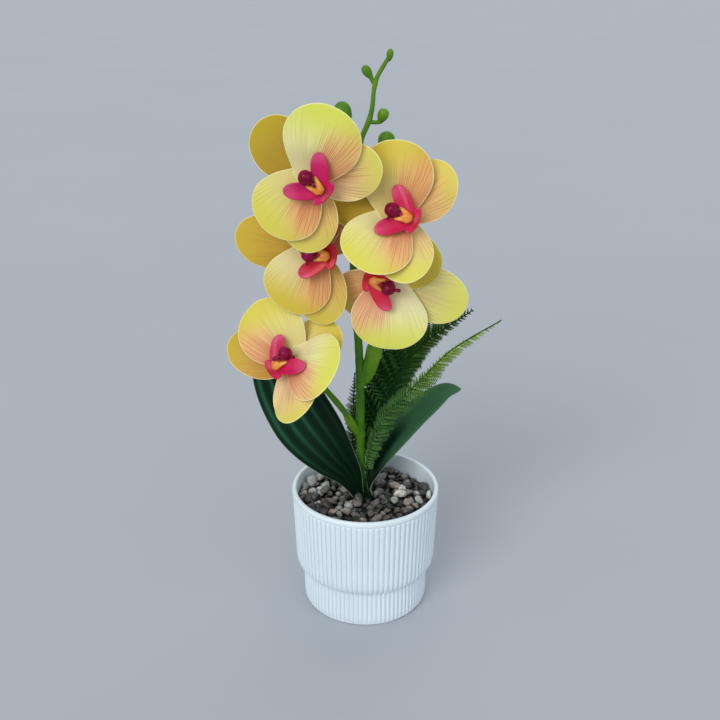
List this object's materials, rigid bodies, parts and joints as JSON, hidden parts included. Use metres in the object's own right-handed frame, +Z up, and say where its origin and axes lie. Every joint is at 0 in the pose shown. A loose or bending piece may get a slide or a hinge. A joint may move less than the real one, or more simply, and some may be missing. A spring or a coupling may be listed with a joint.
{
  "type": "potted artificial orchid",
  "caption": "Small artificial moth orchid with yellow blooms, strap leaves and fern fronds, standing in a round ribbed white pot topped with gravel",
  "frame": {"origin": "centre of the pot's underside, where it stands", "axes": "+Z up along the pot's axis; the blooms face -Y; +X is to the right as the blooms are looked at"},
  "size_m": [0.1386, 0.0903, 0.2965],
  "materials": {
    "pot": "satin",
    "core": "matt",
    "gravel": "smooth, slightly glossy",
    "stem": "satin",
    "leaf": "satin",
    "fern": "satin",
    "petal": "matt, printed",
    "sepal": "matt, printed",
    "lip": "satin",
    "callus": "satin",
    "column": "glossy"
  },
  "bodies": {
    "root": {"pot": "pot", "core": "core", "gravel": "gravel", "flower_stem": "stem", "leaf_left": "leaf", "leaf_right": "leaf", "fern_back": "fern", "fern_front": "fern", "fern_left": "fern", "bloom_1_sepals": "sepal", "bloom_1_petals": "petal", "bloom_1_lip": "lip", "bloom_1_callus": "callus", "bloom_1_column": "column", "bloom_2_sepals": "sepal", "bloom_2_petals": "petal", "bloom_2_lip": "lip", "bloom_2_callus": "callus", "bloom_2_column": "column", "bloom_3_sepals": "sepal", "bloom_3_petals": "petal", "bloom_3_lip": "lip", "bloom_3_callus": "callus", "bloom_3_column": "column", "bloom_4_sepals": "sepal", "bloom_4_petals": "petal", "bloom_4_lip": "lip", "bloom_4_callus": "callus", "bloom_4_column": "column", "bloom_5_sepals": "sepal", "bloom_5_petals": "petal", "bloom_5_lip": "lip", "bloom_5_callus": "callus", "bloom_5_column": "column"}
  },
  "joints": []
}
